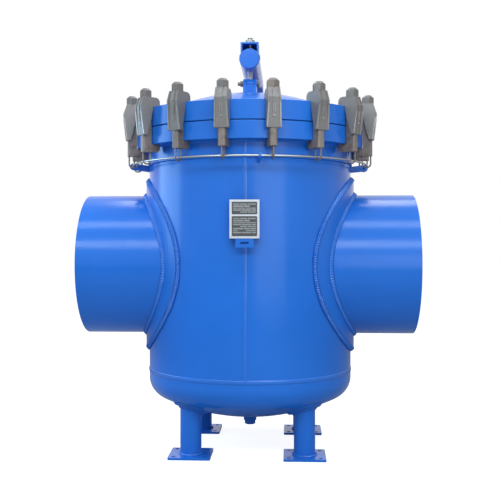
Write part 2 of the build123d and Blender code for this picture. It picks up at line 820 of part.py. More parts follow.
# Lower hook: toe under the body flange, rounded shank, threaded boss at the top
with BuildPart() as hook:
    with BuildSketch(Plane.XZ):
        with BuildLine():
            shank = Polyline(
                (hook_r, hook_top),
                (hook_r, flange_low),
                (flange_r - hook_toe, flange_low),
                (flange_r - hook_toe, flange_low - hook_drop / 2),
            )
            toe = TangentArc(shank @ 1, (flange_r - hook_toe / 2, hook_low), tangent=shank % 1)
            Polyline(
                toe @ 1,
                (hook_r + hook_depth, hook_low),
                (hook_r + hook_depth, hook_top),
                shank @ 0,
            )
        make_face()
    extrude(amount=hook_shank_width / 2, both=True)
    front = hook.edges().filter_by(Axis.Z).group_by(Axis.X)[-1]
    fillet(front, radius=hook_rounding)
    with BuildSketch(Plane.XY.offset(hook_top)):
        with Locations((hook_r, 0)):
            Rectangle(hook_depth, hook_boss_width, align=(Align.MIN, Align.CENTER))
    extrude(amount=-hook_boss_length)
    with BuildSketch(Plane.XY.offset(hook_top)):
        with Locations((clamp_bolt_radius, 0)):
            Circle(clamp_bolt / 2 + slip)
    extrude(amount=-hook_boss_length, mode=Mode.SUBTRACT)
with BuildPart() as clamp_hooks:
    with Locations(*clamp_places):
        add(hook.part)
clamp_hooks.part.label = "clamp_hooks"
export_step(clamp_hooks.part, "parts/clamp_hooks.step")

# Wire loop under each hook, which slides along the ring
loop_low = ring_height - loop_slack
with BuildPart() as loop:
    with BuildLine(Plane.XZ) as loop_route:
        FilletPolyline(
            (loop_r - loop_span, hook_low),
            (loop_r - loop_span, loop_low),
            (loop_r, loop_low),
            (loop_r, hook_low),
            radius=loop_bend,
        )
    with BuildSketch(Plane(origin=loop_route.line @ 0, z_dir=loop_route.line % 0)):
        Circle(loop_wire / 2)
    sweep(path=loop_route.line)
with BuildPart() as clamp_loops:
    with Locations(*clamp_places):
        add(loop.part)
clamp_loops.part.label = "clamp_loops"
export_step(clamp_loops.part, "parts/clamp_loops.step")

# Clamp bolts with chamfered hexagon heads, screwed into the hooks, each stopped at its own angle
for number in range(clamp_count):
    angle = clamp_angle(number)
    spot = (clamp_bolt_radius * cos(radians(angle)), clamp_bolt_radius * sin(radians(angle)))
    with BuildPart() as clamp_screw:
        with BuildSketch(Plane.XY.offset(jaw_top)):
            with Locations(Location(spot + (0,), (0, 0, angle + number * clamp_head_turn))):
                RegularPolygon(clamp_hex / 2, 6, major_radius=False)
        extrude(amount=clamp_head)
        with Locations(spot + (jaw_top,)):
            Cone(
                clamp_head_flat / 2 + clamp_head,
                clamp_head_flat / 2,
                clamp_head,
                align=(Align.CENTER, Align.CENTER, Align.MIN),
                mode=Mode.INTERSECT,
            )
        with BuildSketch(Plane.XY.offset(jaw_top)):
            with Locations(spot):
                Circle(clamp_bolt / 2)
        extrude(amount=-(jaw_cover / 2 + hook_boss_length - slip))
    name = f"clamp_screw_{number + 1:02d}"
    clamp_screw.part.label = name
    export_step(clamp_screw.part, f"parts/{name}.step")

# Folded bracket that holds the name plate off the shell, with a slotted tab below
bracket_face = shell_r + plate_standoff
bracket_low = plate_centre - plate_height / 2
with BuildPart() as nameplate_bracket:
    with BuildSketch(Plane.XZ.offset(bracket_face - bracket_sheet)):
        with Locations((0, plate_centre)):
            Rectangle(plate_width, plate_height)
        with Locations((0, bracket_low)):
            Rectangle(tab_width, tab_drop, align=(Align.CENTER, Align.MAX))
        with Locations((0, bracket_low - tab_drop / 2)):
            SlotOverall(tab_slot, tab_drop / 4, mode=Mode.SUBTRACT)
    extrude(amount=bracket_sheet)
    with BuildSketch(Plane.XZ):
        for side in (-1, 1):
            with Locations((side * (plate_width - bracket_sheet) / 2, plate_centre)):
                Rectangle(bracket_sheet, plate_height)
    extrude(amount=bracket_face)
    Cylinder(shell_r, 2 * neck_seam, mode=Mode.SUBTRACT)
nameplate_bracket.part.label = "nameplate_bracket"
export_step(nameplate_bracket.part, "parts/nameplate_bracket.step")

with BuildPart() as nameplate:
    with BuildSketch(Plane.XZ.offset(bracket_face)):
        with Locations((0, plate_centre)):
            Rectangle(plate_width, plate_height)
    extrude(amount=plate_thickness)
nameplate.part.label = "nameplate"
export_step(nameplate.part, "parts/nameplate.step")

with BuildPart() as nameplate_rivets:
    with BuildSketch(Plane.XZ.offset(bracket_face + plate_thickness)):
        with Locations((0, plate_centre)):
            with GridLocations(plate_width - 2 * rivet_inset, plate_height - 2 * rivet_inset, 2, 2):
                Circle(rivet_diameter / 2)
    extrude(amount=plate_thickness, taper=30)
nameplate_rivets.part.label = "nameplate_rivets"
export_step(nameplate_rivets.part, "parts/nameplate_rivets.step")
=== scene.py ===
import json
import math

import bmesh
import bpy
from mathutils import Matrix, Vector

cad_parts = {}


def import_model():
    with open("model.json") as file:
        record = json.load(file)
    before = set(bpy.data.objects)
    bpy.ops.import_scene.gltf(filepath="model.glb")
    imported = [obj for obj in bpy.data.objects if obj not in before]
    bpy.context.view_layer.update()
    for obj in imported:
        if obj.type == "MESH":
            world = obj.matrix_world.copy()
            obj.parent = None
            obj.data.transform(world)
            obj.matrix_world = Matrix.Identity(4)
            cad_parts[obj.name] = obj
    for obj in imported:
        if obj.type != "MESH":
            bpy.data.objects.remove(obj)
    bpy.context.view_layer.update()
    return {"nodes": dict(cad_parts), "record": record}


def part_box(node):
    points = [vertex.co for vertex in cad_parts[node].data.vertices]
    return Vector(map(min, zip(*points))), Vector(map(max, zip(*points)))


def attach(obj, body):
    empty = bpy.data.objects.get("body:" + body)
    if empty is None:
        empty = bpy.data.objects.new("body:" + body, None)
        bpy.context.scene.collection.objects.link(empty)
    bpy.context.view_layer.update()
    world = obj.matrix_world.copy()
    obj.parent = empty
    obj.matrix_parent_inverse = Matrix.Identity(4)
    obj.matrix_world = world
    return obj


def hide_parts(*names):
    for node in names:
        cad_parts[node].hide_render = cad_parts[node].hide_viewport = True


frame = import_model()

# Vessel, in metres in the frame's own place: Z is the vessel's axis and the feet stand at 0
shell_r = 0.446
plate_wall = 0.010
bore_r = shell_r - plate_wall
neck_wall = 0.016
neck_r = bore_r + neck_wall
neck_height = 0.064
flange_width = 0.066
flange_r = bore_r + flange_width
body_flange_thickness = 0.072
nozzle_r = 0.305
nozzle_height = 0.797
nozzle_sides = ((-1, "inlet"), (1, "outlet"))
shell_below_nozzle = 0.152
shell_above_nozzle = 0.130
head_seam = nozzle_height - nozzle_r - shell_below_nozzle
neck_seam = nozzle_height + nozzle_r + shell_above_nozzle
flange_low = neck_seam + neck_height

# Nozzle pads: an even width from the nozzle, measured along the shell
pad_width = 0.064
pad_thickness = 0.014
pad_steps = 256

# Bottom head: a crown, a knuckle and a short straight flange
head_straight = 0.035
head_crown = 2 * shell_r
knuckle_r = 0.1 * head_crown
knuckle_z = head_seam - head_straight
crown_z = knuckle_z + math.sqrt((head_crown - knuckle_r) ** 2 - (shell_r - knuckle_r) ** 2)

# Legs, feet and drain
leg_r = 0.04445
leg_inset = 0.208
leg_place = shell_r - leg_inset
leg_pad_r = 0.065
leg_pad_thickness = 0.008
foot_thickness = 0.010
drain_r = 0.0285

# Lid and the lug on its crown
gasket_thickness = 0.003
lid_flange_thickness = 0.079
lid_top = flange_low + body_flange_thickness + gasket_thickness + lid_flange_thickness
lid_crown = 0.890
dome_inset = 0.026
dome_r = bore_r - dome_inset
dome_top = lid_top + lid_crown - math.sqrt(lid_crown ** 2 - dome_r ** 2)
lug_gap = 0.030
lug_plate = 0.015
lug_face = lug_gap / 2 + lug_plate
lug_half = 0.037
lug_rise = 0.052
pin_height = dome_top + lug_rise

# Lifting screw and its thread
rod_r = 0.012
thread_pitch = 0.003
thread_depth = 0.0014
thread_start = pin_height + 0.019
rod_chamfer = 0.003
rod_foot = 0.0012
eye_bore_r = 0.0085
eye_chamfer = 0.002

# Davit's arm and the saddle on it
davit_r = 0.04445
davit_rise = 0.098
davit_height = pin_height + davit_rise
davit_face = 0.067
cap_r = 0.042
saddle_width = 0.080
saddle_wall = 0.008
saddle_length = 0.096
saddle_height = 0.0785

# Davit's socket and brackets at the back; the turn is where a bracket's edge meets the shell
davit_standoff = 0.134
socket_y = shell_r + davit_standoff
socket_r = 0.05715
socket_drop = 0.044
socket_length = 0.308
socket_high = neck_seam - socket_drop
socket_low = socket_high - socket_length
bracket_inset = 0.024
bracket_half = 0.006
bracket_turn = math.radians(8.6)

# Seat and the basket's mesh: the seat's height is over the nozzles' axis, at the vessel's middle
seat_margin = 0.015
seat_slope = (nozzle_r + seat_margin) / bore_r
seat_rise = 0.0101
mesh_wall = 0.002
mesh_clear = 0.002
mesh_columns = 184
mesh_hole = 0.62

# Clamp jaws: their belly, and the face that leans in below it
clamp_count = 16
clamp_turn = 1.6
clamp_crowding = 3.0
jaw_depth = 0.059
jaw_skirt = 0.117
jaw_r = flange_r + jaw_depth
jaw_belly = lid_top - 0.002
jaw_low = lid_top - jaw_skirt
jaw_tuck = 0.014
jaw_slope = jaw_tuck / (jaw_belly - jaw_low)

# Cast details on the jaws' faces: heights are from the belly, and widths are from the middle
rim_drop = 0.020
rim_end = 0.002
rim_top = (0.0194, 0.0250)
rim_foot = (0.0240, 0.0300)
slot_drop = 0.024
slot_end = 0.056
slot_half = 0.0019
bar_top = 0.0050
bar_foot = 0.0058
boss_drop = 0.071
boss_r = 0.0052

# Name plate: its face, and its two dark panels in heights from its centre
plate_standoff = 0.038
plate_thickness = 0.002
plate_face = shell_r + plate_standoff + plate_thickness
plate_centre = 0.984
panel_spans = ((0.018, 0.067), (-0.067, 0.011))
panel_half = 0.0495
panel_sink = 0.0002
panel_lift = 0.0008
panel_corner = 0.004

# Blank raised fields on the panels, in rows that repeat by fours
row_heights = (0.0045, 0.0062, 0.0038, 0.0055)
row_splits = ((-0.018, 0.012), (-0.004, 0.022), (-0.026, 0.004), (-0.012, 0.028))
row_gap = 0.0028
row_first = 0.007
row_least = 0.009
field_half = 0.0455
field_gap = 0.0012
field_lift = 0.0003
field_corner = 0.0008

# Camera, from the photograph: its distance, height and turn to the right of the front
photo_size = 500
camera_distance = 3.698
camera_turn = math.radians(2.88)
camera_height = 0.889
camera_aside = -0.0187
focal_pixels = 827
principal_x = 245.9
principal_y = 243.4


# Meshes

def add_mesh(name, shape, body, material, smooth=True):
    """A mesh piece from (points, faces), which rides on a body."""
    verts, faces = shape
    mesh = bpy.data.meshes.new(name)
    mesh.from_pydata([tuple(v) for v in verts], [], faces)
    mesh.validate()
    bm = bmesh.new()
    bm.from_mesh(mesh)
    bmesh.ops.dissolve_degenerate(bm, dist=1e-6, edges=bm.edges)
    bmesh.ops.recalc_face_normals(bm, faces=bm.faces)
    bm.to_mesh(mesh)
    bm.free()
    mesh.polygons.foreach_set("use_smooth", [smooth] * len(mesh.polygons))
    obj = bpy.data.objects.new(name, mesh)
    bpy.context.scene.collection.objects.link(obj)
    obj.data.materials.append(materials[material])
    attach(obj, body)
    return obj


def smooth_by_angle(obj):
    """Keeps edges sharper than 35 degrees sharp, and the rest of a mesh smooth."""
    bm = bmesh.new()
    bm.from_mesh(obj.data)
    for edge in bm.edges:
        edge.smooth = edge.calc_face_angle(0.0) < math.radians(35)
    bm.to_mesh(obj.data)
    bm.free()


def skin(sections, closed):
    """Points and faces of a solid strip through sections, each a ring of as many points."""
    count = len(sections[0])
    verts = [p for ring in sections for p in ring]
    faces = []
    last = len(sections) if closed else len(sections) - 1
    for i in range(last):
        a = i * count
        b = (i + 1) % len(sections) * count
        for j in range(count):
            k = (j + 1) % count
            faces.append((a + j, a + k, b + k, b + j))
    if not closed:
        faces.append(tuple(range(count)))
        faces.append(tuple(range(len(verts) - count, len(verts))))
    return verts, faces


def joined(shapes):
    """Points and faces of several shapes as one."""
    verts = []
    faces = []
    for more_verts, more_faces in shapes:
        first = len(verts)
        verts += more_verts
        faces += [tuple(first + i for i in face) for face in more_faces]
    return verts, faces


# Weld beads. A station of a bead is a point on its root and the two directions that it covers.

def ripple(run, turn, pitch):
    """Crescent ripples along a bead, with a slow change in its size as the welder's hand moves."""
    crescent = math.sin(2 * math.pi * run / pitch + 2.4 * math.sin(turn))
    hand = 0.5 * math.sin(run * 61) + 0.5 * math.sin(run * 23.7 + 1.3)
    return 0.30 * crescent + 0.14 * hand


def fillet_profile(leg, run, pitch):
    """Bulged corner bead: its root is buried, and its face runs from one surface to the other."""
    root = -0.15 * leg
    bulge = 0.4
    waviness = 0.8
    points = [(root, root)]
    for step in range(6):
        turn = math.pi / 2 * step / 5
        chord = 1 / (math.cos(turn) + math.sin(turn))
        reach = leg * (chord + bulge * (1 - chord) + waviness * ripple(run, 2 * turn, pitch))
        points.append((reach * math.cos(turn), reach * math.sin(turn)))
    return points


def cap_profile(leg, run, pitch):
    """Low cap over a butt weld: leg is half its width."""
    height = 0.2 * leg
    points = [(0, -height)]
    for step in range(7):
        turn = math.pi * step / 6
        rise = height * (math.sin(turn) + ripple(run, turn, pitch) * (0 < step < 6))
        points.append((-leg * math.cos(turn), rise))
    return points


def bead(name, body, stations, leg, profile=fillet_profile, closed=True, pitch=0.006):
    """A weld bead through stations, each (root, along one surface, along the other)."""
    sections = []
    run = 0.0
    before = stations[0][0]
    for root, one, other in stations:
        run += (root - before).length
        before = root
        sections.append([root + one * u + other * v for u, v in profile(leg, run, pitch)])
    add_mesh(name, skin(sections, closed), body, "bead_paint")


def ring_stations(place, count, first=0.0, last=2 * math.pi, closed=True):
    """Stations from a function of the turn, evenly spaced in it."""
    steps = count if closed else count - 1
    return [place(first + (last - first) * i / steps) for i in range(count)]


def straight(start, end, one, other):
    """Stations along a straight run."""
    spacing = 0.0025
    start = Vector(start)
    end = Vector(end)
    count = max(2, round((end - start).length / spacing))
    return [(start.lerp(end, i / count), Vector(one), Vector(other)) for i in range(count + 1)]


def around_z(centre, radius, one, other):
    """A circle about a vertical axis; one and other are (outward, up) shares."""
    def place(turn):
        out = Vector((math.cos(turn), math.sin(turn), 0))
        up = Vector((0, 0, 1))
        root = Vector(centre) + radius * out
        return root, out * one[0] + up * one[1], out * other[0] + up * other[1]
    return place


def on_head(centre_x, centre_y, radius, drop):
    """A circle round an upright piece under the bottom head, drop below the head's outside."""
    ball = head_crown + drop

    def place(turn):
        out = Vector((math.cos(turn), math.sin(turn), 0))
        x = centre_x + radius * out.x
        y = centre_y + radius * out.y
        rise = math.sqrt(ball ** 2 - x ** 2 - y ** 2)
        head_out = Vector((x, y, -rise)).normalized()
        along_head = (out - head_out * out.dot(head_out)).normalized()
        return Vector((x, y, crown_z - rise)), along_head, Vector((0, 0, -1))
    return place


def heading(point, turn):
    """The direction in which a curve runs at a turn; point gives its points."""
    return (point(turn + 0.001) - point(turn - 0.001)).normalized()


def crossing(side, pipe_r, barrel_r):
    """Where a pipe along X meets the vessel's barrel: the beads lie on the pipe and on the barrel."""
    def point(turn):
        y = pipe_r * math.cos(turn)
        x = side * math.sqrt(barrel_r ** 2 - y ** 2)
        return Vector((x, y, nozzle_height + pipe_r * math.sin(turn)))

    def place(turn):
        root = point(turn)
        along = heading(point, turn)
        pipe_out = Vector((0, math.cos(turn), math.sin(turn)))
        barrel_out = Vector((root.x, root.y, 0)).normalized()
        on_pipe = pipe_out.cross(along).normalized()
        on_barrel = barrel_out.cross(along).normalized()
        if on_pipe.x * side < 0:
            on_pipe.negate()
        if on_barrel.dot(pipe_out) < 0:
            on_barrel.negate()
        return root, on_pipe, on_barrel
    return place


def pad_edge(side, ride_r):
    """The pad's rim, on a barrel of radius ride_r."""
    def point(turn):
        share = nozzle_r * math.cos(turn) / shell_r
        across = math.cos(turn)
        along = math.sin(turn) / math.sqrt(1 - share ** 2)
        length = math.hypot(across, along)
        angle = math.asin(share) + pad_width * across / length / shell_r
        z = nozzle_height + nozzle_r * math.sin(turn) + pad_width * along / length
        return Vector((side * ride_r * math.cos(angle), ride_r * math.sin(angle), z))

    def place(turn):
        root = point(turn)
        barrel_out = Vector((root.x, root.y, 0)).normalized()
        on_barrel = barrel_out.cross(heading(point, turn)).normalized()
        if on_barrel.dot(root - Vector((root.x, 0, nozzle_height))) < 0:
            on_barrel.negate()
        return root, barrel_out, on_barrel
    return place


# Nozzle pads

def pad_span(side, radius, turn, rim):
    """Points on a barrel, from the nozzle's wall at a turn out to the pad's rim."""
    y = nozzle_r * math.cos(turn)
    inner = Vector((side * math.sqrt(radius ** 2 - y ** 2), y, nozzle_height + nozzle_r * math.sin(turn)))
    span = []
    for step in range(7):
        point = inner.lerp(rim, step / 6)
        reach = math.hypot(point.x, point.y)
        span.append(Vector((point.x * radius / reach, point.y * radius / reach, point.z)))
    return span


def make_pads():
    """Reinforcing pads: each section runs out along the shell and back along the pad's face."""
    for side, name in nozzle_sides:
        under = ring_stations(pad_edge(side, shell_r), pad_steps)
        outside = ring_stations(pad_edge(side, shell_r + pad_thickness), pad_steps)
        sections = []
        for i in range(pad_steps):
            turn = 2 * math.pi * i / pad_steps
            low = pad_span(side, shell_r, turn, under[i][0])
            high = pad_span(side, shell_r + pad_thickness, turn, outside[i][0])
            sections.append(low + high[::-1])
        piece = add_mesh(f"{name}_pad_plate", skin(sections, closed=True), "vessel",
                         "blue_paint")
        smooth_by_angle(piece)
        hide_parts(f"{name}_pad")


# Welds of the vessel, the legs, the lid, the davit and its socket

def make_nozzle_welds():
    for side, name in nozzle_sides:
        root = ring_stations(crossing(side, nozzle_r, shell_r + pad_thickness), count=900)
        bead(f"{name}_root_weld", "vessel", root, leg=0.011, pitch=0.0110)
        edge = ring_stations(pad_edge(side, shell_r), count=1100)
        bead(f"{name}_pad_weld", "vessel", edge, leg=pad_thickness, pitch=0.0095)


def make_seams():
    outward = (1, 0)
    circle = ring_stations(around_z((0, 0, head_seam), shell_r, (0, 1), outward), count=1100)
    bead("head_seam_weld", "vessel", circle, leg=0.009, profile=cap_profile)
    circle = ring_stations(around_z((0, 0, neck_seam), shell_r, (0, -1), outward), count=1100)
    bead("neck_seam_weld", "vessel", circle, leg=0.0055)
    across = (1, 0, 0)
    front = (0, -1, 0)
    run = straight((0, -shell_r, head_seam), (0, -shell_r, neck_seam), across, front)
    bead("shell_seam_weld", "vessel", run, leg=0.008, profile=cap_profile, closed=False)
    fillet_room = 0.010
    run = straight((0, -neck_r, neck_seam), (0, -neck_r, flange_low - fillet_room), across, front)
    bead("neck_upright_weld", "vessel", run, leg=0.007, profile=cap_profile, closed=False)


def make_leg_welds():
    leg = 0.007
    places = [(x, y) for x in (-leg_place, leg_place) for y in (-leg_place, leg_place)]
    for number, (x, y) in enumerate(places, start=1):
        edge = ring_stations(on_head(x, y, leg_pad_r, 0), count=200)
        bead(f"leg_pad_weld_{number}", "vessel", edge, leg)
        top = ring_stations(on_head(x, y, leg_r, leg_pad_thickness), count=160)
        bead(f"leg_top_weld_{number}", "vessel", top, leg)
        foot = ring_stations(around_z((x, y, foot_thickness), leg_r, (1, 0), (0, 1)), count=160)
        bead(f"foot_weld_{number}", "vessel", foot, leg)
    bead("drain_weld", "vessel", ring_stations(on_head(0, 0, drain_r, 0), count=120), leg)


def make_lid_welds():
    slope = math.asin(dome_r / lid_crown)
    rise = (-math.cos(slope), math.sin(slope))
    circle = ring_stations(around_z((0, 0, lid_top), dome_r, (1, 0), rise), count=1000)
    bead("dome_weld", "lid", circle, leg=0.009)
    for number, side in enumerate((-1, 1), start=1):
        x = side * lug_face
        run = straight((x, -lug_half, dome_top), (x, lug_half, dome_top), (side, 0, 0), (0, 0, 1))
        bead(f"lug_weld_{number}", "lid", run, leg=0.006, closed=False)


def make_davit_welds():
    flatness = 0.6

    def cap_edge(turn):
        out = Vector((math.cos(turn), 0, math.sin(turn)))
        root = Vector((0, -davit_face, davit_height)) + cap_r * out
        return root, out * flatness, Vector((0, -1, 0))

    bead("cap_weld", "davit", ring_stations(cap_edge, count=180), leg=0.0045)
    x = saddle_width / 2
    y = saddle_length / 2
    z = davit_height + math.sqrt(davit_r ** 2 - x ** 2)
    for number, side in enumerate((-1, 1), start=1):
        lean = (side * 0.9, 0, -0.44)
        run = straight((side * x, -y, z), (side * x, y, z), (0, 0, 1), lean)
        bead(f"saddle_weld_{number}", "davit", run, leg=0.005, closed=False)


def make_socket_welds():
    leg = 0.006
    number = 0
    for height in (socket_low + bracket_inset, socket_high - bracket_inset):
        for side in (-1, 1):
            number += 1
            z = height + side * bracket_half
            place = around_z((0, 0, z), shell_r, (1, 0), (0, side))
            first = math.pi / 2 - bracket_turn
            last = math.pi / 2 + bracket_turn
            run = ring_stations(place, count=60, first=first, last=last, closed=False)
            bead(f"bracket_weld_{number}", "vessel", run, leg, closed=False)
            place = around_z((0, socket_y, z), socket_r, (1, 0), (0, side))
            bead(f"socket_weld_{number}", "vessel", ring_stations(place, count=150), leg)


# Small plates that close the saddle and join the lid's lugs

def upright_plate(outline, base, near, far):
    """A plate across Y from an outline of (x, height over base) points."""
    sections = [[Vector((x, y, base + z)) for x, z in outline] for y in (near, far)]
    return skin(sections, closed=False)


def make_saddle_back():
    """The saddle's closed back, cut round the pipe below it and sunk a little into it."""
    half = saddle_width / 2 - saddle_wall
    top = saddle_height - saddle_wall
    sunk = 0.001
    steps = 12
    outline = [(half, top)]
    for i in range(steps + 1):
        x = half * (1 - 2 * i / steps)
        outline.append((x, math.sqrt(davit_r ** 2 - x ** 2) - sunk))
    outline.append((-half, top))
    end = saddle_length / 2
    shape = upright_plate(outline, davit_height, near=end - 0.008, far=end - 0.002)
    add_mesh("saddle_back", shape, "davit", "blue_paint", smooth=False)


def make_lug_web():
    """The web between the lid's lugs, with its upper corners cut off."""
    play = 0.0002
    sunk = 0.006
    corner = 0.003
    half = lug_gap / 2 - play
    foot = -lug_rise - sunk
    top = -0.007
    outline = [(-half, foot), (half, foot), (half, top - corner), (half - corner, top),
               (corner - half, top), (-half, top - corner)]
    shape = upright_plate(outline, pin_height, near=-0.032, far=-0.025)
    add_mesh("lug_web", shape, "lid", "blue_paint", smooth=False)


# Perforated sheet of the basket

def perforated(rows, columns, place, keep, hole):
    """A sheet of cells with a square hole in each; hole is the hole's share of a cell's width.

    place(u, v, depth) gives a point, and keep(u, v) says whether a cell is there.
    """
    verts = []
    index = {}
    faces = []

    def vert(u, v, depth):
        key = (round(u, 4), round(v, 4), depth)
        if key not in index:
            index[key] = len(verts)
            verts.append(place(u, v, depth))
        return index[key]

    edge = (1 - hole) / 2
    for i in range(columns):
        for j in range(rows):
            if not keep(i + 0.5, j + 0.5):
                continue
            outer = [(i, j), (i + 1, j), (i + 1, j + 1), (i, j + 1)]
            inner = [(i + edge, j + edge), (i + 1 - edge, j + edge),
                     (i + 1 - edge, j + 1 - edge), (i + edge, j + 1 - edge)]
            for k in range(4):
                n = (k + 1) % 4
                for depth in (0, 1):
                    faces.append((vert(*outer[k], depth), vert(*outer[n], depth),
                                  vert(*inner[n], depth), vert(*inner[k], depth)))
                faces.append((vert(*inner[k], 0), vert(*inner[n], 0),
                              vert(*inner[n], 1), vert(*inner[k], 1)))
    return verts, faces


def make_basket_mesh():
    """The basket's liner, cut off along the sloping seat."""
    low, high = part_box("basket_screen")
    outer = (high[0] - low[0]) / 2
    pitch = 2 * math.pi * outer / mesh_columns
    rows = int((high[2] - low[2]) / pitch) + 1
    seat = nozzle_height + seat_rise

    def wall(u, v, depth):
        turn = 2 * math.pi * (u % mesh_columns) / mesh_columns
        r = outer - mesh_wall * depth
        x = r * math.cos(turn)
        z = low[2] + pitch * v
        return Vector((x, r * math.sin(turn), min(z, seat + seat_slope * x)))

    def below_seat(u, v):
        x = outer * math.cos(2 * math.pi * u / mesh_columns)
        return low[2] + pitch * (v - 0.5) < seat + seat_slope * x - mesh_clear

    shape = perforated(rows, mesh_columns, wall, below_seat, mesh_hole)
    piece = add_mesh("basket_screen_perforated", shape, "basket", "basket_steel",
                     smooth=False)
    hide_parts("basket_screen")


# Cast details on the front of the clamp jaws: raised edges, a slot and a boss

def jaw_point(across, z, proud):
    """A point by the jaw's front face, in the jaw's own place: outward, across, up."""
    return Vector((jaw_r - jaw_slope * (jaw_belly - z) + proud, across, z))


def raised_pad(outline, proud, inset):
    """A low pad with sloped sides on the jaw's face; its outline is (across, height) points."""
    sunk = -0.001
    mid_a = sum(a for a, _ in outline) / len(outline)
    mid_z = sum(z for _, z in outline) / len(outline)
    sections = []
    for height, pull in ((sunk, 0.0), (0.0, 0.0), (proud, inset)):
        ring = []
        for a, z in outline:
            in_a = math.copysign(min(pull, abs(mid_a - a)), mid_a - a)
            in_z = math.copysign(min(pull, abs(mid_z - z)), mid_z - z)
            ring.append(jaw_point(a + in_a, z + in_z, height))
        sections.append(ring)
    return skin(sections, closed=False)


def clamp_angle(number):
    """The turn of a clamp about the vessel: they stand closer together at the front."""
    even = (number + 0.5) * 360 / clamp_count
    return math.radians(clamp_turn - 90 + even - clamp_crowding * math.sin(math.radians(even)))


def make_jaw_details():
    pads = []
    rim_high = jaw_belly - rim_drop
    rim_low = jaw_low + rim_end
    slot_high = jaw_belly - slot_drop
    slot_low = jaw_belly - slot_end
    for side in (-1, 1):
        rim = [(side * rim_top[0], rim_high), (side * rim_top[1], rim_high),
               (side * rim_foot[1], rim_low), (side * rim_foot[0], rim_low)]
        pads.append(raised_pad(rim, proud=0.0022, inset=0.0010))
        bar = [(side * slot_half, slot_high), (side * bar_top, slot_high),
               (side * bar_foot, slot_low), (side * slot_half, slot_low)]
        pads.append(raised_pad(bar, proud=0.0026, inset=0.0006))
    boss = []
    for i in range(12):
        turn = math.radians(30 * i)
        boss.append((boss_r * math.cos(turn), jaw_belly - boss_drop + boss_r * math.sin(turn)))
    pads.append(raised_pad(boss, proud=0.0032, inset=0.0012))
    verts, faces = joined(pads)
    copies = []
    for number in range(clamp_count):
        about = Matrix.Rotation(clamp_angle(number), 3, "Z")
        copies.append(([about @ v for v in verts], faces))
    # The raised edges, slot bars and boss take the lighter finish: part wear, part painted highlight
    add_mesh("jaw_details", joined(copies), "lid", "wear_and_highlight_casting", smooth=False)


# Lifting screw: cut thread and eye

def make_thread():
    around = 36
    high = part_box("lifting_screw")[1][2]
    length = high - thread_start
    rings = round(length / thread_pitch * 6)
    sections = []
    for i in range(rings + 1):
        z = thread_start + length * i / rings
        end = max(0.0, rod_chamfer - (high - z)) + rod_foot * (i == 0)
        ring = []
        for j in range(around):
            turn = 2 * math.pi * j / around
            phase = (z / thread_pitch - j / around) % 1
            cut = thread_depth * abs(2 * phase - 1)
            r = rod_r - max(cut, end)
            ring.append(Vector((r * math.cos(turn), r * math.sin(turn), z)))
        sections.append(ring)
    thread = add_mesh("lifting_screw_thread", skin(sections, closed=False), "lid",
                      "plated_steel")
    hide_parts("lifting_screw")


def make_eye():
    """The screw's painted eye: a ring about the bolt, turned from (along, radius) points."""
    low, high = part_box("lifting_screw")
    half = (high[0] - low[0]) / 2
    eye_r = (high[1] - low[1]) / 2
    flat = half - eye_chamfer
    profile = [(-half, eye_bore_r), (half, eye_bore_r), (half, eye_r - eye_chamfer), (flat, eye_r),
               (-flat, eye_r), (-half, eye_r - eye_chamfer)]
    around = 48
    axis = Vector((1, 0, 0))
    side = axis.orthogonal().normalized()
    other = axis.cross(side)
    sections = []
    for i in range(around):
        turn = 2 * math.pi * i / around
        out = side * math.cos(turn) + other * math.sin(turn)
        sections.append([Vector((0, 0, pin_height)) + axis * a + out * r for a, r in profile])
    eye = add_mesh("lifting_screw_eye", skin(sections, closed=True), "lid",
                   "blue_paint", smooth=False)
    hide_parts("lifting_screw")


# Name plate: bright frame, dark panels and blank fields with nothing written in them

def slab(low, high, back, front, corner):
    """A thin panel with rounded corners and sloped edges, facing -Y; low and high are (x, z)."""
    slope = 0.4 * (front - back)
    corners = ((high[0] - corner, high[1] - corner, 0), (low[0] + corner, high[1] - corner, 90),
               (low[0] + corner, low[1] + corner, 180), (high[0] - corner, low[1] + corner, 270))
    sections = []
    for y, reach in ((back, corner), (front - slope, corner), (front, corner - slope)):
        ring = []
        for x, z, start in corners:
            for step in range(4):
                turn = math.radians(start + 30 * step)
                ring.append(Vector((x + reach * math.cos(turn), -y, z + reach * math.sin(turn))))
        sections.append(ring)
    return skin(sections, closed=False)


def make_plate_panels():
    back = plate_face - panel_sink
    front = back + panel_lift
    panels = []
    for low, high in panel_spans:
        panels.append(slab((-panel_half, plate_centre + low), (panel_half, plate_centre + high),
                           back, front, panel_corner))
    add_mesh("plate_panels", joined(panels), "vessel", "plate_dark", smooth=False)


def make_plate_fields():
    """Rows of blank fields, with a gap where a field is left out."""
    back = plate_face - panel_sink + panel_lift
    fields = []
    for low, high in panel_spans:
        top = plate_centre + high - row_first
        row = 0
        while top - row_least > plate_centre + low:
            height = row_heights[row % 4]
            edges = (-field_half, *row_splits[row % 4], field_half)
            for i in range(3):
                if (row * 3 + i) % 7 != 5:
                    fields.append(slab((edges[i] + field_gap, top - height),
                                       (edges[i + 1] - field_gap, top),
                                       back, back + field_lift, field_corner))
            top -= height + row_gap
            row += 1
    add_mesh("plate_fields", joined(fields), "vessel", "plate_field", smooth=False)


# Materials

def noise(tree, place, scale, detail, roughness):
    """Noise over the piece's own coordinates."""
    made = tree.nodes.new("ShaderNodeTexNoise")
    made.inputs["Scale"].default_value = scale
    made.inputs["Detail"].default_value = detail
    made.inputs["Roughness"].default_value = roughness
    tree.links.new(place.outputs["Object"], made.inputs["Vector"])
    return made.outputs["Fac"]


def ramp(tree, source, start, end):
    """A colour ramp between two positions."""
    made = tree.nodes.new("ShaderNodeValToRGB")
    made.color_ramp.elements[0].position = start
    made.color_ramp.elements[1].position = end
    tree.links.new(source, made.inputs["Fac"])
    return made


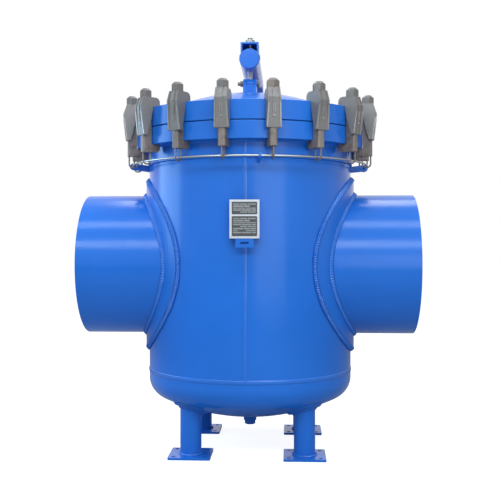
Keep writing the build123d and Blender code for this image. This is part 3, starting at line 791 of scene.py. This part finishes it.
def finish_material(name, colour, rough, metallic=0.0, specular=0.5, mottle=0.06, peel=0.02,
                    grain=900.0, rough_spread=0.06, wear=None):
    """A procedural finish: colour drifts slowly, roughness is patchy and the surface has a grain."""
    material = bpy.data.materials.new(name)
    material.use_nodes = True
    tree = material.node_tree
    shader = tree.nodes["Principled BSDF"]
    shader.inputs["Metallic"].default_value = metallic
    shader.inputs["Specular IOR Level"].default_value = specular
    place = tree.nodes.new("ShaderNodeTexCoord")

    tint = ramp(tree, noise(tree, place, scale=3.0, detail=5.0, roughness=0.6), start=0.3, end=0.7)
    dark = [c * (1 - mottle) for c in colour]
    light = [min(1.0, c * (1 + mottle)) for c in colour]
    tint.color_ramp.elements[0].color = (*dark, 1)
    tint.color_ramp.elements[1].color = (*light, 1)
    base = tint.outputs["Color"]

    if wear:
        spots = noise(tree, place, scale=38.0, detail=8.0, roughness=0.7)
        mask = ramp(tree, spots, start=wear["from"], end=wear["to"])
        mix = tree.nodes.new("ShaderNodeMix")
        mix.data_type = "RGBA"
        tree.links.new(mask.outputs["Color"], mix.inputs["Factor"])
        tree.links.new(base, mix.inputs["A"])
        mix.inputs["B"].default_value = (*wear["colour"], 1)
        base = mix.outputs["Result"]
    tree.links.new(base, shader.inputs["Base Color"])

    spread = tree.nodes.new("ShaderNodeMapRange")
    spread.inputs["From Min"].default_value = 0.3
    spread.inputs["From Max"].default_value = 0.7
    spread.inputs["To Min"].default_value = rough - rough_spread
    spread.inputs["To Max"].default_value = rough + rough_spread
    patches = noise(tree, place, scale=14.0, detail=6.0, roughness=0.65)
    tree.links.new(patches, spread.inputs["Value"])
    tree.links.new(spread.outputs["Result"], shader.inputs["Roughness"])

    bump = tree.nodes.new("ShaderNodeBump")
    bump.inputs["Strength"].default_value = peel
    bump.inputs["Distance"].default_value = 0.002
    tree.links.new(noise(tree, place, scale=grain, detail=3.0, roughness=0.55), bump.inputs["Height"])
    tree.links.new(bump.outputs["Normal"], shader.inputs["Normal"])
    return material


blue = (0.016, 0.146, 0.585)
rust = {"from": 0.52, "to": 0.66, "colour": (0.115, 0.085, 0.07)}
finishes = {
    "blue_paint": dict(colour=blue, rough=0.20, specular=0.26, mottle=0.05, peel=0.03, grain=420.0,
                       rough_spread=0.04),
    "bead_paint": dict(colour=blue, rough=0.16, mottle=0.08, peel=0.08, grain=300.0,
                       rough_spread=0.04),
    "inner_paint": dict(colour=(0.20, 0.055, 0.035), rough=0.7, mottle=0.15, peel=0.3, grain=300.0),
    "basket_steel": dict(colour=(0.55, 0.55, 0.54), rough=0.38, metallic=1.0, mottle=0.08,
                         peel=0.15, grain=500.0),
    "clamp_casting": dict(colour=(0.196, 0.178, 0.172), rough=0.42, metallic=0.25, mottle=0.14,
                          peel=0.5, grain=420.0),
    # Jaw details: lighter than the casting, partly as wear on raised edges and partly as a painted
    # highlight along the jaws' edges
    "wear_and_highlight_casting": dict(colour=(0.33, 0.305, 0.29), rough=0.34, metallic=0.4, mottle=0.2,
                         peel=0.3, grain=420.0),
    "hook_casting": dict(colour=(0.205, 0.160, 0.142), rough=0.48, metallic=0.2, mottle=0.22,
                         peel=0.6, grain=380.0, wear=rust),
    "clamp_bolt_steel": dict(colour=(0.17, 0.16, 0.155), rough=0.40, metallic=0.5, mottle=0.15,
                             peel=0.25, grain=600.0),
    "dull_steel": dict(colour=(0.20, 0.165, 0.145), rough=0.5, metallic=0.5, mottle=0.2,
                       peel=0.3, grain=600.0),
    "plated_steel": dict(colour=(0.42, 0.42, 0.41), rough=0.30, metallic=1.0, mottle=0.08,
                         peel=0.12, grain=700.0),
    "nut_steel": dict(colour=(0.26, 0.26, 0.255), rough=0.38, metallic=0.6, mottle=0.15,
                      peel=0.2, grain=600.0),
    "plate_metal": dict(colour=(0.60, 0.60, 0.64), rough=0.35, metallic=0.4, mottle=0.05,
                        peel=0.1, grain=800.0),
    "plate_dark": dict(colour=(0.055, 0.055, 0.058), rough=0.5, mottle=0.2, peel=0.1, grain=600.0),
    "plate_field": dict(colour=(0.26, 0.255, 0.25), rough=0.5, mottle=0.25, peel=0.1, grain=900.0),
    "gasket_sheet": dict(colour=(0.02, 0.02, 0.022), rough=0.8, mottle=0.2, peel=0.3, grain=500.0),
}
materials = {name: finish_material(name, **finish) for name, finish in finishes.items()}

# CAD pieces: each takes its slot's finish, apart from some that are finished differently
slot_of = {s["node"]: s["material_slot"] for s in frame["record"]["subparts"]}
finer = {"clamp_hooks": "hook_casting", "clamp_loops": "dull_steel", "lug_bolt": "dull_steel",
         "lug_nut": "dull_steel", "jack_nut": "nut_steel", "jack_washer": "nut_steel",
         "clamp_screw_01": "dull_steel", "clamp_screw_05": "dull_steel",
         "clamp_screw_12": "dull_steel"}
for name, obj in frame["nodes"].items():
    obj.data.materials.clear()
    obj.data.materials.append(materials[finer.get(name, slot_of[name])])


def bevel(names, width):
    """Softens the sharp edges of CAD pieces with modifiers."""
    for name in names:
        obj = frame["nodes"][name]
        join = obj.modifiers.new("join", "WELD")
        join.merge_threshold = 0.00001
        edge = obj.modifiers.new("bevel", "BEVEL")
        edge.limit_method = "ANGLE"
        edge.angle_limit = math.radians(20)
        edge.width = width
        edge.segments = 2
        obj.modifiers.new("even_normals", "WEIGHTED_NORMAL")


bevel(["clamp_jaws", "clamp_hooks"], width=0.0018)
bevel([f"clamp_screw_{n + 1:02d}" for n in range(clamp_count)], width=0.0010)
bevel(["foot_plates", "lid_lugs", "davit_saddle", "socket_brackets"], width=0.0012)
bevel(["lid_flange", "body_flange"], width=0.0020)

make_pads()
make_nozzle_welds()
make_seams()
make_leg_welds()
make_lid_welds()
make_davit_welds()
make_saddle_back()
make_lug_web()
make_socket_welds()
make_basket_mesh()
make_jaw_details()
make_thread()
make_eye()
make_plate_panels()
make_plate_fields()


# Stage: pale floor, white surround, soft lamps

def either(tree, one, other):
    """The larger of two ray masks."""
    made = tree.nodes.new("ShaderNodeMath")
    made.operation = "MAXIMUM"
    tree.links.new(one, made.inputs[0])
    tree.links.new(other, made.inputs[1])
    return made.outputs["Value"]


def world():
    """White to the camera, to mirrors and through glass, and a dim sky for light."""
    made = bpy.data.worlds.new("surround")
    bpy.context.scene.world = made
    made.use_nodes = True
    tree = made.node_tree
    path = tree.nodes.new("ShaderNodeLightPath")
    mirrored = either(tree, path.outputs["Is Glossy Ray"], path.outputs["Is Transmission Ray"])
    seen = either(tree, path.outputs["Is Camera Ray"], mirrored)
    dim = tree.nodes["Background"]
    dim.inputs["Color"].default_value = (0.93, 0.96, 1.0, 1)
    dim.inputs["Strength"].default_value = 0.38
    white = tree.nodes.new("ShaderNodeBackground")
    white.inputs["Color"].default_value = (1, 1, 1, 1)
    white.inputs["Strength"].default_value = 1.0
    mix = tree.nodes.new("ShaderNodeMixShader")
    tree.links.new(seen, mix.inputs["Fac"])
    tree.links.new(dim.outputs["Background"], mix.inputs[1])
    tree.links.new(white.outputs["Background"], mix.inputs[2])
    tree.links.new(mix.outputs["Shader"], tree.nodes["World Output"].inputs["Surface"])


def floor():
    """A pale floor that takes the shadow and glows to the camera alone."""
    size = 30.0
    mesh = bpy.data.meshes.new("floor")
    corners = [(-size, -size, 0), (size, -size, 0), (size, size, 0), (-size, size, 0)]
    mesh.from_pydata(corners, [], [(0, 1, 2, 3)])
    obj = bpy.data.objects.new("floor", mesh)
    bpy.context.scene.collection.objects.link(obj)
    material = bpy.data.materials.new("floor_white")
    material.use_nodes = True
    tree = material.node_tree
    tree.nodes.clear()
    output = tree.nodes.new("ShaderNodeOutputMaterial")
    diffuse = tree.nodes.new("ShaderNodeBsdfDiffuse")
    diffuse.inputs["Color"].default_value = (0.45, 0.45, 0.45, 1)
    glow = tree.nodes.new("ShaderNodeEmission")
    glow.inputs["Color"].default_value = (1, 1, 1, 1)
    path = tree.nodes.new("ShaderNodeLightPath")
    scale = tree.nodes.new("ShaderNodeMath")
    scale.operation = "MULTIPLY"
    scale.inputs[1].default_value = 0.87
    tree.links.new(path.outputs["Is Camera Ray"], scale.inputs[0])
    tree.links.new(scale.outputs["Value"], glow.inputs["Strength"])
    add = tree.nodes.new("ShaderNodeAddShader")
    tree.links.new(diffuse.outputs["BSDF"], add.inputs[0])
    tree.links.new(glow.outputs["Emission"], add.inputs[1])
    tree.links.new(add.outputs["Shader"], output.inputs["Surface"])
    obj.data.materials.append(material)


def softbox(name, place, aim_height, size, watts, tint):
    """A soft lamp that faces the vessel's axis at a height; size is (width, height)."""
    lamp = bpy.data.lights.new(name, "AREA")
    lamp.shape = "RECTANGLE"
    lamp.size, lamp.size_y = size
    lamp.energy = watts
    lamp.color = tint
    obj = bpy.data.objects.new(name, lamp)
    bpy.context.scene.collection.objects.link(obj)
    obj.location = place
    toward = Vector((0, 0, aim_height)) - Vector(place)
    obj.rotation_euler = toward.to_track_quat("-Z", "Y").to_euler()


def lamps():
    """Two long strips over the front, and boxes at the left, at the front right and over the back."""
    pale_blue = (0.82, 0.95, 1)
    softbox("low_key", (0.0, -3.6, 3.1), aim_height=0.8, size=(4.8, 0.8), watts=100, tint=pale_blue)
    softbox("high_key", (0.0, -1.7, 4.8), aim_height=0.8, size=(4.8, 0.8), watts=90, tint=pale_blue)
    softbox("left_box", (-2.99, 0.21, 1.7), aim_height=1.3, size=(2.0, 1.8), watts=60, tint=(0.40, 0.72, 1))
    softbox("front_box", (1.65, -3.87, 1.2), aim_height=0.9, size=(2.4, 1.6), watts=30, tint=(0.75, 0.9, 1))
    softbox("top_box", (0.0, 2.3, 5.0), aim_height=0.9, size=(3.0, 1.6), watts=75, tint=(1, 1, 1))


def camera():
    lens = bpy.data.cameras.new("camera")
    lens.sensor_width = 36.0
    lens.lens = focal_pixels / photo_size * lens.sensor_width
    lens.shift_x = 0.5 - principal_x / photo_size
    lens.shift_y = principal_y / photo_size - 0.5
    obj = bpy.data.objects.new("camera", lens)
    bpy.context.scene.collection.objects.link(obj)
    ahead = Vector((-math.sin(camera_turn), math.cos(camera_turn), 0))
    right = Vector((math.cos(camera_turn), math.sin(camera_turn), 0))
    obj.location = -camera_distance * ahead + camera_aside * right + Vector((0, 0, camera_height))
    obj.rotation_euler = ahead.to_track_quat("-Z", "Y").to_euler()
    bpy.context.scene.camera = obj


world()
floor()
camera()
lamps()
bpy.context.scene.view_settings.view_transform = "Standard"
